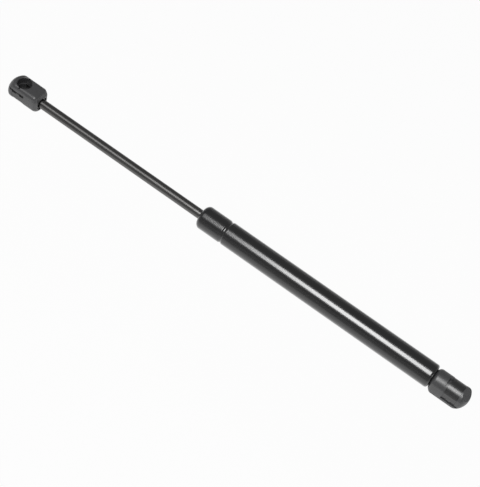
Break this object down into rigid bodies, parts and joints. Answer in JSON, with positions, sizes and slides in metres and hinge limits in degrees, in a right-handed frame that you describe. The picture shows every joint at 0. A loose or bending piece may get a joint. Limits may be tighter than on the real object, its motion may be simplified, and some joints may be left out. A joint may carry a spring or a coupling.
{
  "type": "trunk lid gas strut",
  "caption": "Slim gas strut for a trunk lid: thin dark rod sliding in a glossy black tube, with a clipped ball socket on each end, facing opposite ways.",
  "frame": {"origin": "centre of the ball that the tube-end socket holds, on the strut's own axis", "axes": "+X runs from the tube-end ball outwards along the strut, so the rod end lies at -X and pushing the rod in is +X; +Z is the way the rod-end socket opens, and the tube-end socket opens to -Z"},
  "size_m": [0.3342, 0.015, 0.015],
  "materials": {
    "black_paint": "gloss",
    "black_plastic": "satin",
    "spring_steel": "black coated, glossy",
    "rod_steel": "dark nitrided, ground smooth",
    "dark_steel": "phosphated, dark",
    "zinc_steel": "zinc plated",
    "brass": "turned",
    "piston_alloy": "turned",
    "bearing_plastic": "smooth",
    "black_rubber": "matte"
  },
  "bodies": {
    "cylinder": {"pressure_tube": "black_paint", "base_plug": "dark_steel", "base_sealing_ring": "black_rubber", "tube_end_socket": "black_plastic", "end_washer": "zinc_steel", "wiper_ring": "black_rubber", "rod_guide": "brass", "guide_bush": "bearing_plastic", "guide_sealing_ring": "black_rubber", "rod_seal": "black_rubber", "seal_washer": "zinc_steel", "spacer_ring": "bearing_plastic"},
    "sliding_ring": {"piston_ring": "bearing_plastic"},
    "rod": {"piston_rod": "rod_steel", "piston_support_disc": "zinc_steel", "piston": "piston_alloy", "orifice_disc": "zinc_steel", "rivet_washer": "zinc_steel", "rod_end_socket": "black_plastic"},
    "tube_end_clip": {"tube_end_clip": "spring_steel"},
    "rod_end_clip": {"rod_end_clip": "spring_steel"}
  },
  "joints": [
    {"name": "rod_travel", "type": "slide", "parent": "cylinder", "child": "sliding_ring", "axis": [1, 0, 0], "range_m": [0, 0.11], "stiffness_N_per_m": 450, "springref_m": -0.3333},
    {"name": "rod_turn", "type": "hinge", "parent": "sliding_ring", "child": "rod", "pos_m": [-0.1557, 0, 0], "axis": [1, 0, 0], "continuous": true},
    {"name": "tube_end_clip_lift", "type": "slide", "parent": "cylinder", "child": "tube_end_clip", "axis": [0, 0, 1], "range_m": [0, 0.0032], "stiffness_N_per_m": 500},
    {"name": "rod_end_clip_lift", "type": "slide", "parent": "rod", "child": "rod_end_clip", "axis": [0, 0, -1], "range_m": [0, 0.0032], "stiffness_N_per_m": 500}
  ]
}
